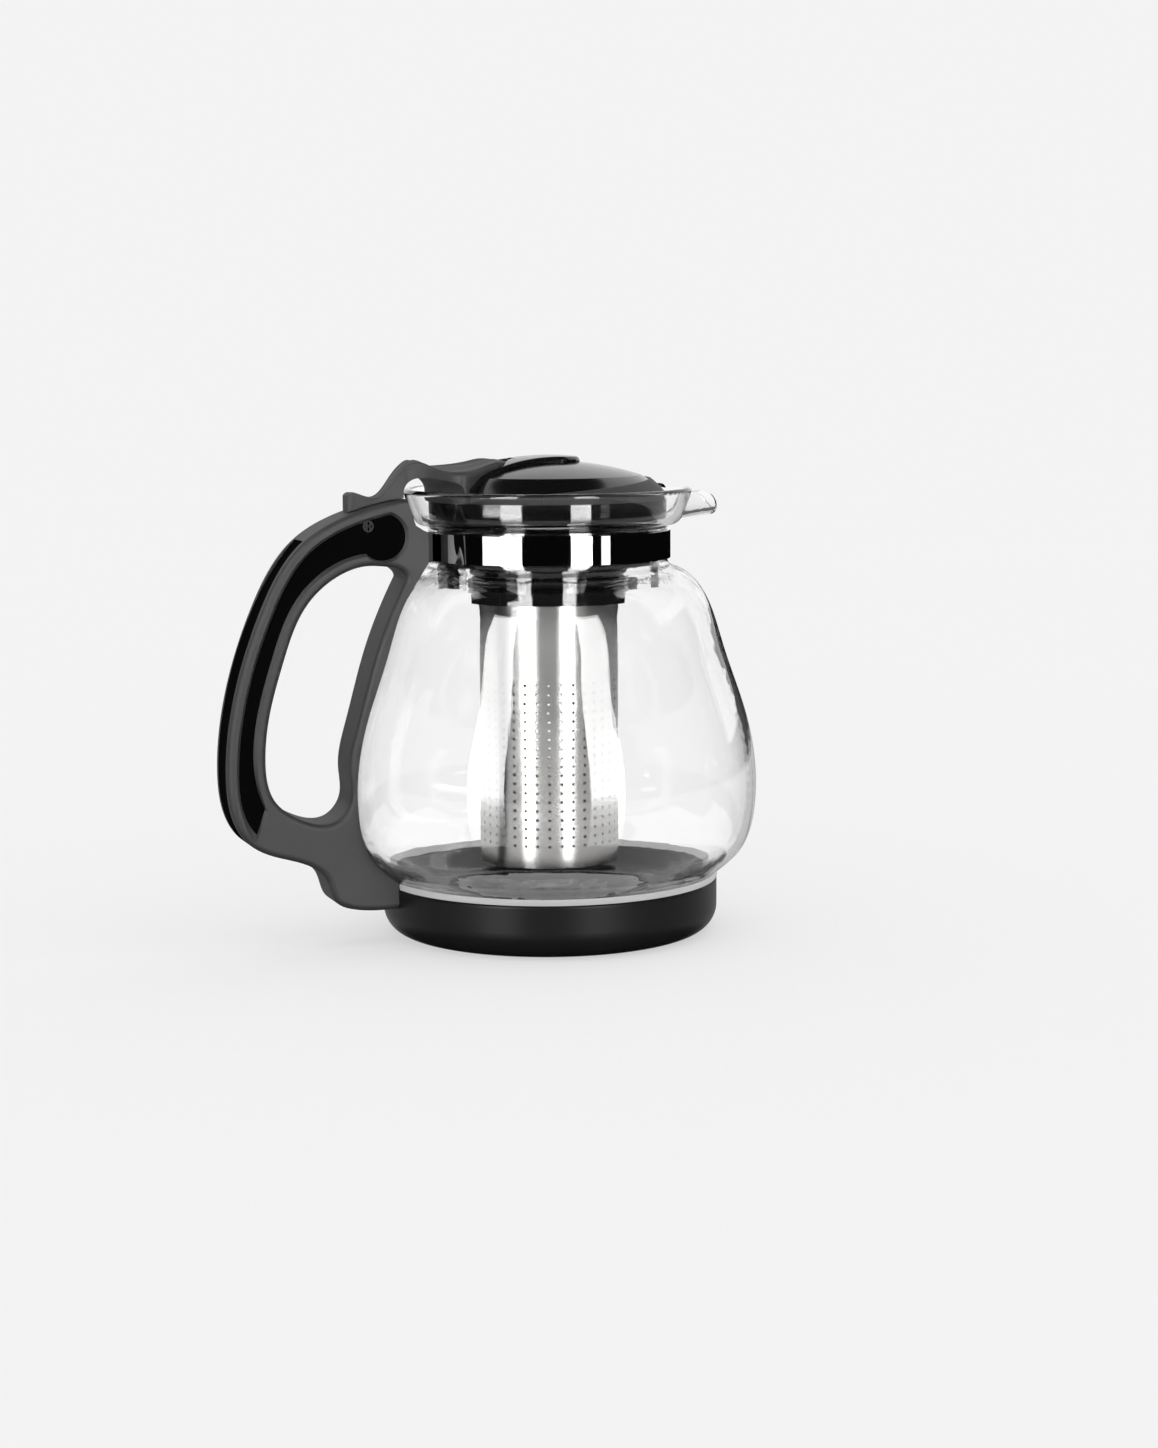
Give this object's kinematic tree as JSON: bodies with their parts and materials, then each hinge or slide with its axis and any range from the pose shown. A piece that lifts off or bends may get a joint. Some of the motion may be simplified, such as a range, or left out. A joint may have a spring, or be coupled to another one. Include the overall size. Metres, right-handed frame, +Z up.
{
  "type": "glass teapot",
  "caption": "Clear glass teapot with a black base, D-shaped handle held by a chromed neck band, lift-off lid and a lift-out perforated steel infuser",
  "frame": {"origin": "centre of the flat underside of the base cup, on the axis of the glass", "axes": "+Z up, +X towards the pouring lip, the handle along -X"},
  "size_m": [0.1839, 0.1408, 0.1618],
  "materials": {
    "clear_glass": "clear blown glass, fire-polished rim",
    "satin_black": "satin moulded plastic",
    "matte_black": "fine-textured matte moulded plastic",
    "gloss_black": "polished moulded plastic",
    "chrome": "bright chrome",
    "polished_steel": "satin-polished stainless steel",
    "screw_steel": "plated steel",
    "dark_steel": "black-oxidised steel",
    "silicone": "pale milky silicone"
  },
  "bodies": {
    "jug": {"glass_jug": "clear_glass", "base_cup": "satin_black", "base_pad": "silicone", "neck_band": "chrome", "band_screw": "dark_steel", "band_nut": "screw_steel", "handle_frame": "matte_black", "grip_inlay": "gloss_black", "back_strip": "gloss_black", "base_screws": "screw_steel"},
    "infuser": {"infuser_holder": "gloss_black", "infuser_collar": "gloss_black", "infuser_tube": "polished_steel", "infuser_bottom": "polished_steel"},
    "lid": {"lid_frame": "matte_black", "lid_dome": "gloss_black", "lid_plug": "satin_black"}
  },
  "joints": [
    {"name": "infuser_lift", "type": "slide", "parent": "jug", "child": "infuser", "axis": [0, 0, 1], "range_m": [0, 0.135]},
    {"name": "lid_lift", "type": "slide", "parent": "infuser", "child": "lid", "axis": [0, 0, 1], "range_m": [0, 0.06]}
  ]
}
